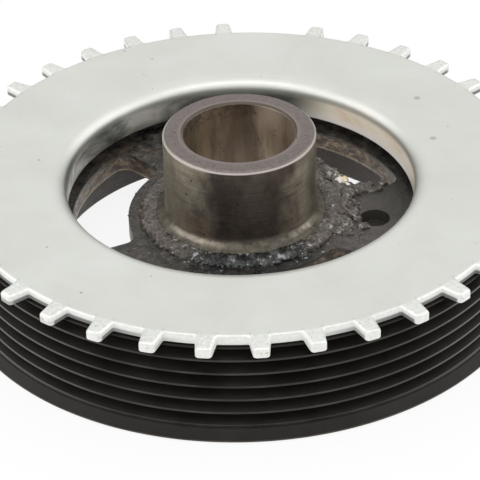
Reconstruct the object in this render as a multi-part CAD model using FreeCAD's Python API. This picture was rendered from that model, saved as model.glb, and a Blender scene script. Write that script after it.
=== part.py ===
import FreeCAD, Part
import math, os

os.makedirs("parts", exist_ok=True)

# Harmonic balancer for the nose of a small engine's crankshaft. All lengths are millimetres.
# Frame: the origin is on the shaft axis, in the plane of the front face, which is the face
# the part rests on. +Z points along the axis to the engine side, where the toothed wheel is.
# Angles are measured about +Z from -Y towards +X.

# Ribbed-belt ring, which is also the damper's inertia mass
rib_pitch = 3.56
rib_grooves = 6
groove_depth = 3.0
groove_half_angle = 20.0
crest_land = 0.3              # flat top of a rib
crest_bevel = 0.15            # small bevel on both sides of the flat
ring_wall = 11.5              # from the ring's bore to the groove bottoms
front_lip_w = 3.14            # from the last groove to the front face
lip_rise = 2.3                # lip above the rib crests
lip_land_w = 1.1              # full-height part of the lip
flange_rise = 0.6             # step between the last groove and the flare of the lip
ring_rear_chamfer = 0.5
ring_edge_round = 0.5
lip_round = 0.8

# Toothed wheel, pressed from sheet
tooth_places = 36             # evenly spaced places round the wheel
missing_place = 17            # one place has no tooth, which marks the crank's zero
tooth_zero_deg = 2.8          # angle of place 0
tooth_length = 5.0
tooth_tip_w = 3.5
tooth_root_w = 4.7
tooth_corner_r = 0.5
tooth_root_inset = 0.7        # tooth roots inside the rib crests
wheel_t = 2.5
wheel_gap = 0.3               # between the belt ring and the toothed wheel
collar_out = 0.9              # collar's bore outside the windows' outer edge
collar_gap = 3.2              # between the collar's end and the web
collar_bend_r = 4.0           # outside of the bend
collar_end_round = 0.4

# Elastomer between the hub's rim and the belt ring
elastomer_t = 3.5
elastomer_recess = 1.4        # below both ends of the rim
elastomer_dish = 0.8          # hollow in both end faces
elastomer_dish_round = 3.0

# Hub disc: a web with a rim round it
web_t = 4.5
web_drop = 12.0               # web's face below the toothed wheel's face
web_margin = 5.4              # between the windows and the rim
web_rim_fillet = 2.0
rim_t = 4.0
rim_front_recess = 0.4        # rim's front end behind the front face
rim_edge_round = 0.6
window_count = 3
window_first_deg = -100.0     # middle of the first window
window_half_deg = 34.5
window_w = 13.4
window_corner_r = 3.2
window_weld_gap = 3.0         # between the weld and the windows
locating_hole_r = 3.6
locating_hole_deg = 82.0
locating_hole_inset = 1.6     # inside the middle line of the windows
locating_hole_depth = 3.0     # a blind hole

# Sleeve that slides over the crankshaft's nose
sleeve_bore_r = 13.3
sleeve_wall = 4.9
sleeve_stand = 10.5           # above the toothed wheel's face
flare_out = 2.3               # foot of the sleeve outside its wall
flare_h = 1.9
foot_h = 1.3                  # straight part of the foot on the web
flare_round = 1.2
foot_round = 0.4
spigot_wall = 3.7             # of the part that goes through the web
spigot_proud = 2.0            # stands out of the web's front face
sleeve_edge_chamfer = 0.7
bore_edge_chamfer = 0.5

# Weld between the sleeve's foot and the web
weld_w = 3.7
weld_height = 1.7
weld_crown_round = 1.2
weld_toe_h = 0.5

# Radii that follow, from the bore outwards
sleeve_r = sleeve_bore_r + sleeve_wall
foot_r = sleeve_r + flare_out
spigot_r = sleeve_bore_r + spigot_wall
weld_outer_r = foot_r + weld_w
window_inner_r = weld_outer_r + window_weld_gap
window_outer_r = window_inner_r + window_w
locating_hole_at_r = (window_inner_r + window_outer_r) / 2.0 - locating_hole_inset
collar_bore_r = window_outer_r + collar_out
rim_inner_r = window_outer_r + web_margin
rim_outer_r = rim_inner_r + rim_t
ring_bore_r = rim_outer_r + elastomer_t
crest_r = ring_bore_r + ring_wall + groove_depth
tooth_root_r = crest_r - tooth_root_inset
tooth_tip_r = tooth_root_r + tooth_length

# Heights that follow, from the front face up
ring_rear_z = front_lip_w + rib_grooves * rib_pitch
wheel_low_z = ring_rear_z + wheel_gap
wheel_top_z = wheel_low_z + wheel_t
web_top_z = wheel_top_z - web_drop
web_low_z = web_top_z - web_t
sleeve_top_z = wheel_top_z + sleeve_stand
sleeve_front_z = web_low_z - spigot_proud
foot_top_z = web_top_z + foot_h


def vec(r, z):
    return FreeCAD.Vector(r, 0, z)


def rounded_wire(corners, place):
    """Closed wire through corners (a, b, radius); place(a, b) gives the point in space."""
    flat = [FreeCAD.Vector(a, b, 0) for a, b, radius in corners]
    ends = []
    count = len(corners)
    for i, (a, b, radius) in enumerate(corners):
        here = flat[i]
        if radius <= 0:
            ends.append((here, None, here))
            continue
        back = (flat[i - 1] - here).normalize()
        ahead = (flat[(i + 1) % count] - here).normalize()
        half = back.getAngle(ahead) / 2.0
        cut = radius / math.tan(half)
        centre = here + (back + ahead).normalize() * (radius / math.sin(half))
        middle = centre + (here - centre).normalize() * radius
        ends.append((here + back * cut, middle, here + ahead * cut))
    edges = []
    for i, (start, middle, end) in enumerate(ends):
        if middle is not None:
            arc = [place(p.x, p.y) for p in (start, middle, end)]
            edges.append(Part.Arc(*arc).toShape())
        following = ends[(i + 1) % count][0]
        if end.distanceToPoint(following) > 1e-6:
            line = Part.LineSegment(place(end.x, end.y), place(following.x, following.y))
            edges.append(line.toShape())
    return Part.Wire(edges)


def turned(corners):
    """Solid of revolution about the shaft axis from corners (radius, height, rounding)."""
    face = Part.Face(rounded_wire(corners, vec))
    return face.revolve(FreeCAD.Vector(0, 0, 0), FreeCAD.Vector(0, 0, 1), 360)


def cylinder(radius, low_z, high_z, x=0.0, y=0.0):
    return Part.makeCylinder(radius, high_z - low_z, FreeCAD.Vector(x, y, low_z))


def at_angle(radius, degrees):
    """Point at a radius and an angle measured from -Y towards +X."""
    a = math.radians(degrees)
    return radius * math.sin(a), -radius * math.cos(a)


def wheel_plate_and_collar():
    """Flat ring whose inner edge is bent down into a collar."""
    outer = collar_bore_r + wheel_t
    end = web_top_z + collar_gap
    inside_bend = max(collar_bend_r - wheel_t, 0.3)
    return turned([
        (collar_bore_r, end, collar_end_round),
        (collar_bore_r, wheel_top_z, collar_bend_r),
        (tooth_root_r, wheel_top_z, 0),
        (tooth_root_r, wheel_low_z, 0),
        (outer, wheel_low_z, inside_bend),
        (outer, end, collar_end_round),
    ])


def tooth(degrees):
    """One tooth: tapered flanks, rounded tip corners, foot sunk into the ring."""
    foot = tooth_root_r - wheel_t / 2.0
    slope = (tooth_root_w - tooth_tip_w) / 2.0 / tooth_length
    foot_half = tooth_root_w / 2.0 + slope * (tooth_root_r - foot)
    outline = rounded_wire([
        (-foot_half, foot, 0),
        (foot_half, foot, 0),
        (tooth_tip_w / 2.0, tooth_tip_r, tooth_corner_r),
        (-tooth_tip_w / 2.0, tooth_tip_r, tooth_corner_r),
    ], lambda a, b: FreeCAD.Vector(a, -b, wheel_low_z))
    solid = Part.Face(outline).extrude(FreeCAD.Vector(0, 0, wheel_t))
    solid.rotate(FreeCAD.Vector(0, 0, 0), FreeCAD.Vector(0, 0, 1), degrees)
    return solid


def toothed_wheel():
    places = [i for i in range(tooth_places) if i != missing_place]
    step = 360.0 / tooth_places
    teeth = [tooth(tooth_zero_deg + step * i) for i in places]
    return wheel_plate_and_collar().multiFuse(teeth).removeSplitter()


def groove_corners(middle_z):
    """Corners of one belt groove, from its engine side to its front side."""
    top_half = (rib_pitch - crest_land) / 2.0
    bevel_half = top_half - crest_bevel
    bottom_half = bevel_half - (groove_depth - crest_bevel) * math.tan(
        math.radians(groove_half_angle))
    low_r = crest_r - groove_depth
    return [
        (crest_r, middle_z + top_half, 0),
        (crest_r - crest_bevel, middle_z + bevel_half, 0),
        (low_r, middle_z + bottom_half, 0),
        (low_r, middle_z - bottom_half, 0),
        (crest_r - crest_bevel, middle_z - bevel_half, 0),
        (crest_r, middle_z - top_half, 0),
    ]


def belt_ring():
    """Ring with a row of belt grooves between a narrow rear edge and a flared front lip."""
    flange_r = crest_r + flange_rise
    lip_r = crest_r + lip_rise
    corners = [
        (ring_bore_r, 0, ring_edge_round),
        (ring_bore_r, ring_rear_z, ring_edge_round),
        (crest_r - ring_rear_chamfer, ring_rear_z, 0),
    ]
    for i in range(rib_grooves):
        corners += groove_corners(ring_rear_z - rib_pitch * (i + 0.5))
    behind_lip = corners.pop()[1]
    corners += [
        (flange_r, behind_lip - crest_bevel, 0),
        (flange_r, behind_lip - crest_bevel - crest_land, 0),
        (lip_r, lip_land_w, 0),
        (lip_r, 0, lip_round),
    ]
    return turned(corners)


def elastomer_ring():
    """Strip of rubber with a dished face at both ends."""
    low = rim_front_recess + elastomer_recess
    high = wheel_low_z - elastomer_recess
    middle = rim_outer_r + elastomer_t / 2.0
    return turned([
        (rim_outer_r, low, 0),
        (rim_outer_r, high, 0),
        (middle, high - elastomer_dish, elastomer_dish_round),
        (ring_bore_r, high, 0),
        (ring_bore_r, low, 0),
        (middle, low + elastomer_dish, elastomer_dish_round),
    ])


def window(degrees):
    """Kidney-shaped opening through the web, with rounded corners."""
    low = web_low_z - 1.0
    tall = web_t + 2.0

    def point(radius, angle):
        x, y = at_angle(radius, angle)
        return FreeCAD.Vector(x, y, low)

    a0, a1 = degrees - window_half_deg, degrees + window_half_deg
    arcs = [Part.Arc(point(r, a0), point(r, degrees), point(r, a1)).toShape()
            for r in (window_inner_r, window_outer_r)]
    sides = [Part.LineSegment(point(window_inner_r, a), point(window_outer_r, a)).toShape()
             for a in (a0, a1)]
    outline = Part.Wire([arcs[0], sides[1], arcs[1], sides[0]])
    solid = Part.Face(outline).extrude(FreeCAD.Vector(0, 0, tall))
    upright = [e for e in solid.Edges
               if abs(e.Vertexes[0].Z - e.Vertexes[-1].Z) > tall / 2.0]
    return solid.makeFillet(min(window_corner_r, window_w * 0.45), upright)


def hub_disc():
    """Web with windows and a blind locating hole, and the rim that carries the elastomer."""
    disc = turned([
        (spigot_r, web_low_z, 0),
        (rim_inner_r, web_low_z, web_rim_fillet),
        (rim_inner_r, rim_front_recess, rim_edge_round),
        (rim_outer_r, rim_front_recess, rim_edge_round),
        (rim_outer_r, wheel_low_z, 0),
        (rim_inner_r, wheel_low_z, 0),
        (rim_inner_r, web_top_z, web_rim_fillet),
        (spigot_r, web_top_z, 0),
    ])
    cuts = [window(window_first_deg + 360.0 / window_count * i) for i in range(window_count)]
    x, y = at_angle(locating_hole_at_r, locating_hole_deg)
    depth = min(locating_hole_depth, web_t * 0.8)
    cuts.append(cylinder(locating_hole_r, web_top_z - depth, web_top_z + 1.0, x, y))
    for cut in cuts:
        disc = disc.cut(cut)
    return disc


def hub_sleeve():
    """Machined sleeve: plain outside for a seal, flared foot, spigot through the web."""
    return turned([
        (sleeve_bore_r, sleeve_front_z + bore_edge_chamfer, 0),
        (sleeve_bore_r, sleeve_top_z - bore_edge_chamfer, 0),
        (sleeve_bore_r + bore_edge_chamfer, sleeve_top_z, 0),
        (sleeve_r - sleeve_edge_chamfer, sleeve_top_z, 0),
        (sleeve_r, sleeve_top_z - sleeve_edge_chamfer, 0),
        (sleeve_r, foot_top_z + flare_h, flare_round),
        (foot_r, foot_top_z, foot_round),
        (foot_r, web_top_z, 0),
        (spigot_r, web_top_z, 0),
        (spigot_r, sleeve_front_z + sleeve_edge_chamfer, 0),
        (spigot_r - sleeve_edge_chamfer, sleeve_front_z, 0),
        (sleeve_bore_r + bore_edge_chamfer, sleeve_front_z, 0),
    ])


def weld_bead():
    """Ring of weld metal in the corner between the sleeve's foot and the web."""
    crown_r = foot_r + weld_w / 2.0 - 0.3
    return turned([
        (foot_r, web_top_z, 0),
        (foot_r, foot_top_z, 0),
        (crown_r, web_top_z + weld_height, weld_crown_round),
        (weld_outer_r, web_top_z + weld_toe_h, weld_toe_h * 0.8),
        (weld_outer_r, web_top_z, 0),
    ])


pieces = {
    "toothed_wheel": toothed_wheel,
    "belt_ring": belt_ring,
    "elastomer_ring": elastomer_ring,
    "hub_disc": hub_disc,
    "hub_sleeve": hub_sleeve,
    "weld_bead": weld_bead,
}

for name, make in pieces.items():
    shape = make()
    shape.exportStep("parts/%s.step" % name)
    box = shape.BoundBox
    print(name, "valid", shape.isValid(), "solids", len(shape.Solids),
          "volume cm3 %.2f" % (shape.Volume / 1000.0),
          "z %.2f to %.2f" % (box.ZMin, box.ZMax), "radius %.2f" % box.XMax)
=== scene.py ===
# %% [markdown]
# # A harmonic balancer, dressed for its photograph
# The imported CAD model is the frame: six pieces, already at their real size and place. This
# lesson gives them a camera, light, and the finishes that the real part has. The turned and
# toothed pieces are made again by Geometry Nodes with finer curves and softened edges, and
# the weld with its spatter is made too, because it is too lively for plain CAD solids.

# %% Load the frame
import bpy, math
from mathutils import Matrix, Vector


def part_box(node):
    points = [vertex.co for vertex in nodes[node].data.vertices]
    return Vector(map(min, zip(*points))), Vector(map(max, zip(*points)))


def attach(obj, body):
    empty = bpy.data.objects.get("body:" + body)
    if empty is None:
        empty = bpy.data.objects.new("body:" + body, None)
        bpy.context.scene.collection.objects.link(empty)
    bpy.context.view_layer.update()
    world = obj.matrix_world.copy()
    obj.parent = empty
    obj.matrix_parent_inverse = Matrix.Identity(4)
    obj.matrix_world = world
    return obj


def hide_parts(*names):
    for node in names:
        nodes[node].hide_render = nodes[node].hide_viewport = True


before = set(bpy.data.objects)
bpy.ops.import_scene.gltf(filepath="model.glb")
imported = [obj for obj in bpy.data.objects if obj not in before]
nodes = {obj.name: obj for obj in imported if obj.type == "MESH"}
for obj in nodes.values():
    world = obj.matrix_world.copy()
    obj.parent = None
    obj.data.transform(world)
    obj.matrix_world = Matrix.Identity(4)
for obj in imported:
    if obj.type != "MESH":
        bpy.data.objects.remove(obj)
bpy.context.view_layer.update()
MM = 0.001
print("nodes:", sorted(nodes))

# %% [markdown]
# ## Sizes
# The made pieces repeat the CAD's own sizes, in millimetres, so that they fill the same
# space. Heights that the frame can tell are read from it, the rest is written once here.

# %% Shared sizes
LOW, HIGH = 0, 1


def height_of(node, end):
    """Lowest or highest point of a CAD node, in millimetres."""
    return round(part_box(node)[end][2] / MM, 3)


wheel_top = height_of("toothed_wheel", HIGH)
web_top = height_of("weld_bead", LOW)
sleeve_top = height_of("hub_sleeve", HIGH)
sleeve_front = height_of("hub_sleeve", LOW)
ring_rear = height_of("belt_ring", HIGH)
wheel_t = 2.5
wheel_low = wheel_top - wheel_t
root_r, tip_r = 67.3, 72.3
collar_r, bend_r, collar_end = 41.5, 4.0, web_top + 3.2
crest_r, rib_pitch, rib_grooves, groove_depth = 68.0, 3.56, 6, 3.0
lip_r, ring_bore_r = 70.3, 53.5
sleeve_r, bore_r, foot_r, spigot_r = 18.2, 13.3, 20.5, 17.0
web_low, foot_top = web_top - 4.5, web_top + 1.3
hole_at, hole_floor = (31.99, -4.50), web_top - 3.0
print("wheel top %.1f, web top %.1f, sleeve %.1f to %.1f, ring to %.1f mm"
      % (wheel_top, web_top, sleeve_front, sleeve_top, ring_rear))

# %% [markdown]
# ## The camera
# The photograph looks down at the part from about 35 degrees, through a long lens, with a
# small tilt to the left. The numbers come from fitting a camera to the tooth tips, the belt
# ribs and the sleeve's top. A camera looks along its own -Z, so its matrix is made from the
# three directions right, up and back.

# %% Place the camera
def added(name, data):
    """New object in the scene that holds a camera, a lamp or a mesh."""
    thing = bpy.data.objects.new(name, data)
    bpy.context.scene.collection.objects.link(thing)
    return thing


elevation, roll = math.radians(33.96), math.radians(-1.55)
distance, aside, above = 579.6 * MM, 0.02 * MM, 16.90 * MM
lens_mm = 182.36

across = Vector((1, 0, 0))
upward = Vector((0, math.sin(elevation), math.cos(elevation)))
back = Vector((0, -math.cos(elevation), math.sin(elevation)))
right = math.cos(roll) * across + math.sin(roll) * upward
up = -math.sin(roll) * across + math.cos(roll) * upward
spot = Vector((0, 0, wheel_top * MM)) - aside * right - above * up + distance * back

camera_data = bpy.data.cameras.new("camera")
camera_data.sensor_width = 36.0
camera_data.lens = lens_mm
camera = added("camera", camera_data)
turn = Matrix((right, up, back)).transposed().to_4x4()
camera.matrix_world = Matrix.Translation(spot) @ turn
bpy.context.scene.camera = camera
bpy.context.scene.view_settings.view_transform = "Standard"
print("camera at", [round(v, 4) for v in spot], "lens", lens_mm)

# %% [markdown]
# ## Helpers for every node tree
# Materials and Geometry Nodes are both trees of nodes. `put` adds one node, sets it up and
# fills its inputs, either with a plain value or with a link from another node's output. The
# others are the sums and soft steps that masks are made of.

# %% Node helpers
def put(tree, kind, inputs=None, **settings):
    """Add a node; inputs maps a name or number to a value or to another node's output."""
    node = tree.nodes.new(kind)
    for key, value in settings.items():
        setattr(node, key, value)
    for key, value in (inputs or {}).items():
        if isinstance(value, bpy.types.NodeSocket):
            tree.links.new(value, node.inputs[key])
        else:
            node.inputs[key].default_value = value
    return node


def calc(tree, operation, *values):
    """One Math node; each value is a number or a socket."""
    node = put(tree, "ShaderNodeMath", dict(enumerate(values)), operation=operation)
    return node.outputs[0]


def times(tree, first, *others):
    """Product, which is also how masks are combined."""
    for other in others:
        first = calc(tree, "MULTIPLY", first, other)
    return first


def plus(tree, first, second):
    return calc(tree, "ADD", first, second)


def minus(tree, first, second):
    return calc(tree, "SUBTRACT", first, second)


def step_up(tree, value, low, high, out_low=0.0, out_high=1.0):
    """Smooth step from out_low to out_high while value goes from low to high."""
    node = put(tree, "ShaderNodeMapRange", {0: value, 1: low, 2: high, 3: out_low, 4: out_high},
               interpolation_type="SMOOTHSTEP")
    return node.outputs[0]


def step_down(tree, value, low, high):
    """Smooth step from 1 to 0 while value goes from low to high."""
    return step_up(tree, value, low, high, 1.0, 0.0)


def between(tree, value, low, high, soft):
    """1 where value is between low and high, fading within soft of both ends."""
    return times(tree, step_up(tree, value, low - soft, low + soft),
                 step_down(tree, value, high - soft, high + soft))


def polar(tree, x, y):
    """Radius, and angle in degrees from -Y towards +X, of a point."""
    radius = calc(tree, "SQRT", plus(tree, times(tree, x, x), times(tree, y, y)))
    angle = calc(tree, "ARCTAN2", x, times(tree, y, -1.0))
    return radius, calc(tree, "DEGREES", angle)

# %% [markdown]
# ## Helpers for pieces made by Geometry Nodes
# A tree gets named inputs for its sizes, in millimetres, and ends in Set Material. `grown`
# runs it once on an empty mesh, keeps the result as a plain mesh in metres and throws the
# modifier away. Its volume is printed: a closed piece whose faces point outwards has a
# positive one, which can be held against the CAD solid's.

# %% Geometry Nodes helpers
def sized_tree(name, sizes):
    """Tree with one geometry output and a named input for each size; returns both."""
    tree = bpy.data.node_groups.new(name, "GeometryNodeTree")
    tree.interface.new_socket("Geometry", in_out="OUTPUT", socket_type="NodeSocketGeometry")
    for label, value in sizes.items():
        kind = "NodeSocketInt" if isinstance(value, int) else "NodeSocketFloat"
        socket = tree.interface.new_socket(label, in_out="INPUT", socket_type=kind)
        socket.default_value = value
    return tree, put(tree, "NodeGroupInput").outputs


def close_tree(tree, geometry, material):
    """Last nodes of every tree: real meshes, smooth faces, and the finish."""
    real = put(tree, "GeometryNodeRealizeInstances", {0: geometry})
    smooth = put(tree, "GeometryNodeSetShadeSmooth", {0: real.outputs[0]})
    coat = put(tree, "GeometryNodeSetMaterial", {0: smooth.outputs[0], "Material": material})
    put(tree, "NodeGroupOutput", {0: coat.outputs[0]})


def volume_cm3(mesh):
    """Volume of a closed mesh, summed over its triangles."""
    mesh.calc_loop_triangles()
    points = [v.co for v in mesh.vertices]
    total = 0.0
    for triangle in mesh.loop_triangles:
        a, b, c = (points[i] for i in triangle.vertices)
        total += a.dot(b.cross(c)) / 6.0
    return total * 1e6


def grown(name, tree, sizes, sharp_deg):
    """Plain mesh object made by a tree, with its sharp edges marked."""
    thing = added(name, bpy.data.meshes.new(name))
    modifier = thing.modifiers.new("grow", "NODES")
    modifier.node_group = tree
    for item in tree.interface.items_tree:
        if item.in_out == "INPUT":
            modifier[item.identifier] = sizes[item.name]
    graph = bpy.context.evaluated_depsgraph_get()
    mesh = bpy.data.meshes.new_from_object(thing.evaluated_get(graph))
    thing.modifiers.clear()
    thing.data = mesh
    mesh.name = name
    mesh.transform(Matrix.Scale(MM, 4))
    mesh.set_sharp_from_angle(angle=math.radians(sharp_deg))
    print("%s: %d faces, %.2f cm3" % (name, len(mesh.polygons), volume_cm3(mesh)))
    return thing


def pattern(points, edges, faces):
    """Object that a tree uses as a pattern, and that is removed afterwards."""
    mesh = bpy.data.meshes.new("pattern")
    mesh.from_pydata([Vector(p) for p in points], edges, faces)
    return added("pattern", mesh)


def drawn(tree, thing):
    """Nodes that bring a pattern into the tree."""
    return put(tree, "GeometryNodeObjectInfo", {"Object": thing}).outputs["Geometry"]


def outline(points, closed=True):
    """Line of edges through points."""
    count = len(points)
    edges = [(i, (i + 1) % count) for i in range(count if closed else count - 1)]
    return pattern(points, edges, [])


def eased(corners, steps=5, closed=True):
    """Points through corners (a, b, radius), with each corner rounded by short steps."""
    points = []
    count = len(corners)
    for i, (a, b, radius) in enumerate(corners):
        here = Vector((a, b))
        if radius <= 0 or (not closed and i in (0, count - 1)):
            points.append(here)
            continue
        behind = (Vector(corners[i - 1][:2]) - here).normalized()
        ahead = (Vector(corners[(i + 1) % count][:2]) - here).normalized()
        half = behind.angle(ahead) / 2.0
        centre = here + (behind + ahead).normalized() * (radius / math.sin(half))
        start = (here + behind * (radius / math.tan(half)) - centre).normalized()
        end = (here + ahead * (radius / math.tan(half)) - centre).normalized()
        for k in range(steps + 1):
            points.append(centre + radius * start.slerp(end, k / steps))
    return points

# %% [markdown]
# ## Turning on a lathe
# The belt ring, the sleeve and the wheel's collar are round shapes: one outline taken round
# the axis. Curve to Mesh does that with a circle for the path. It lays an outline's X
# outwards and its Y downwards, so the outline (radius, height) is tipped by 90 degrees first.

# %% Lathe nodes
PATH_R = 50.0


def lathe(tree, line, turns):
    """Nodes that take a line of edges, drawn as (radius, 0, height), round the axis."""
    curve = put(tree, "GeometryNodeMeshToCurve", {0: line}).outputs[0]
    tipped = put(tree, "GeometryNodeTransform", {
        0: curve, "Rotation": (math.pi / 2, 0, 0), "Translation": (-PATH_R, 0, 0)})
    circle = put(tree, "GeometryNodeCurvePrimitiveCircle",
                 {"Resolution": turns, "Radius": PATH_R})
    swept = put(tree, "GeometryNodeCurveToMesh",
                {"Curve": circle.outputs[0], "Profile Curve": tipped.outputs[0]})
    return swept.outputs[0]


def joined(tree, *parts):
    """Nodes that put several geometries into one."""
    whole = put(tree, "GeometryNodeJoinGeometry")
    for part in parts:
        tree.links.new(part, whole.inputs[0])
    return whole.outputs[0]


def merged(tree, geometry, reach=0.002):
    """Nodes that join points which lie on each other."""
    return put(tree, "GeometryNodeMergeByDistance", {0: geometry, "Distance": reach}).outputs[0]

# %% [markdown]
# ## Helpers for finishes
# Every finish here is built from the same few parts: object coordinates turned into
# millimetres, noise, a colour ramp, a mix and a bump. Object coordinates are used because
# the pieces sit at the origin, so a pattern stays put when the model is exported. `polar`
# gives the radius and angle, which is how a tooth, a bore or the crest of a rib is found.

# %% Material helpers
def new_finish(name):
    """New material: its tree, its main shader, and the place in millimetres."""
    material = bpy.data.materials.new(name)
    material.use_nodes = True
    tree = material.node_tree
    place = put(tree, "ShaderNodeTexCoord").outputs["Object"]
    mm = put(tree, "ShaderNodeMapping", {"Vector": place, "Scale": (1000, 1000, 1000)})
    return material, tree, tree.nodes["Principled BSDF"], mm.outputs[0]


def place_parts(tree, mm):
    """X, Y, Z, radius and angle of the place, for masks."""
    x, y, z = put(tree, "ShaderNodeSeparateXYZ", {0: mm}).outputs
    return (x, y, z, *polar(tree, x, y))


def nearest(tree, mm, spots, z):
    """Distance to the nearest of some points (x, y) at the height z."""
    way, *others = [put(tree, "ShaderNodeVectorMath", {0: mm, 1: (*spot, z)},
                        operation="DISTANCE").outputs["Value"] for spot in spots]
    for other in others:
        way = calc(tree, "MINIMUM", way, other)
    return way


def noise(tree, mm, scale, detail=3.0, rough=0.55, squash=None, lump=0.0):
    """Noise with features of about 1/scale mm; squash stretches it, lump distorts it."""
    if squash:
        mm = put(tree, "ShaderNodeMapping", {"Vector": mm, "Scale": squash}).outputs[0]
    node = put(tree, "ShaderNodeTexNoise", {"Vector": mm, "Scale": scale, "Detail": detail,
                                            "Roughness": rough, "Distortion": lump})
    return node.outputs[0]


def ramp(tree, value, *stops):
    """Colour ramp from (position, grey or rgb) stops."""
    node = put(tree, "ShaderNodeValToRGB", {0: value})
    cells = node.color_ramp.elements
    while len(cells) < len(stops):
        cells.new(0.5)
    for cell, (position, colour) in zip(cells, stops):
        cell.position = position
        rgb = (colour,) * 3 if isinstance(colour, (int, float)) else tuple(colour)
        cell.color = (*rgb, 1.0)
    return node.outputs[0]


def mixed(tree, factor, first, second):
    """Mix of two colours; a colour is a socket or an rgb tuple."""
    first, second = ((*c, 1.0) if isinstance(c, tuple) else c for c in (first, second))
    node = put(tree, "ShaderNodeMix", {0: factor, 6: first, 7: second}, data_type="RGBA")
    return node.outputs[2]


def bumped(tree, shader, height, strength, depth_mm, edge_mm=0.0):
    """Bump on the shader; edge_mm also softens sharp edges in the shading."""
    node = put(tree, "ShaderNodeBump", {"Strength": strength, "Distance": depth_mm * MM,
                                        "Height": height})
    if edge_mm:
        soft = put(tree, "ShaderNodeBevel", {"Radius": edge_mm * MM}, samples=6)
        tree.links.new(soft.outputs[0], node.inputs["Normal"])
    tree.links.new(node.outputs[0], shader.inputs["Normal"])


def finish(tree, shader, base, rough, metal=0.0, gloss=0.5):
    """Plug colour and roughness in; a number is set on the socket itself."""
    for name, value in (("Base Color", base), ("Roughness", rough), ("Metallic", metal)):
        if isinstance(value, bpy.types.NodeSocket):
            tree.links.new(value, shader.inputs[name])
        else:
            shader.inputs[name].default_value = value
    shader.inputs["Specular IOR Level"].default_value = gloss


def told(material):
    """Say how large a finish has become."""
    print("%s: %d nodes" % (material.name, len(material.node_tree.nodes)))
    return material

# %% [markdown]
# ## The toothed wheel's zinc plate
# The wheel is pressed sheet with a thin zinc coat: pale, nearly even, a little warm. What
# makes the flat sheet real is small: faint clouds in the coat, a fine grain, a few dark
# specks, and two dings that the photograph shows at the right.

# %% Zinc on the flat sheet
DINGS = ((47.0, 11.7), (44.5, 30.9))


def sheet_tone(tree, mm, grain):
    clouds = noise(tree, mm, 0.05, 5, 0.6, lump=0.4)
    base = ramp(tree, clouds, (0.3, (0.645, 0.655, 0.61)), (0.7, (0.715, 0.725, 0.685)))
    base = mixed(tree, ramp(tree, grain, (0.35, 0.10), (0.7, 0.0)), base, (0.5, 0.5, 0.48))
    specks = ramp(tree, noise(tree, mm, 0.40, 2, 0.5), (0.745, 0), (0.765, 1))
    base = mixed(tree, specks, base, (0.33, 0.32, 0.30))
    ding = plus(tree, nearest(tree, mm, DINGS, wheel_top), times(tree, grain, 1.6))
    return mixed(tree, step_up(tree, ding, 1.2, 1.9, 0.7, 0.0), base, (0.36, 0.35, 0.33))

# %% [markdown]
# ## The teeth and the cut edge
# The press shears the sheet's edge. The coat is mottled and pitted there, and the sheared face is
# pale. Low on the flanks it is dark grey, partly where the metal tore and partly as painted
# shade for the black ring that the flanks reflect. The fronts of the teeth carry small brown
# marks.

# %% Zinc on the teeth
def rim_tone(tree, mm, place, base):
    """Colour with the teeth's marks on it, and the mask of the cut face."""
    x, _, z, radius, _ = place
    at_rim = step_up(tree, radius, root_r - 0.6, root_r - 0.1)
    mottle = ramp(tree, noise(tree, mm, 1.1, 4, 0.7), (0.38, 0.0), (0.58, 1.0))
    base = mixed(tree, times(tree, at_rim, times(tree, mottle, 0.55)), base, (0.90, 0.91, 0.88))
    pits = ramp(tree, noise(tree, mm, 1.7, 3, 0.6), (0.62, 0.0), (0.70, 0.6))
    base = mixed(tree, times(tree, at_rim, pits), base, (0.36, 0.36, 0.34))
    cut = times(tree, at_rim, step_down(tree, z, wheel_top - 0.6, wheel_top - 0.25))
    base = mixed(tree, times(tree, cut, 0.6), base, (0.86, 0.86, 0.83))
    # Painted shade and reflection: the lower flanks, and the lower tips far to the left, are
    # darkened for the black ring reflected in them, together with the dark torn zone.
    on_tip = step_up(tree, x, -60, -35, 0.9, 0)
    off_tip = step_up(tree, radius, tip_r - 1.3, tip_r - 0.6, 1.0, on_tip)
    torn_and_shaded = times(tree, off_tip, step_down(tree, z, wheel_low + 0.8, wheel_low + 1.4), at_rim,
                 step_up(tree, calc(tree, "ABSOLUTE", x), 8, 35, 0.0, 0.88))
    base = mixed(tree, torn_and_shaded, base, (0.11, 0.11, 0.105))
    marks = times(tree, between(tree, z, wheel_low + 0.9, wheel_top - 0.9, 0.2),
                  step_up(tree, radius, tip_r - 0.8, tip_r - 0.3),
                  ramp(tree, noise(tree, mm, 0.8, 3, 0.6), (0.56, 0.0), (0.64, 0.5)))
    return mixed(tree, marks, base, (0.42, 0.35, 0.28)), cut
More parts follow.
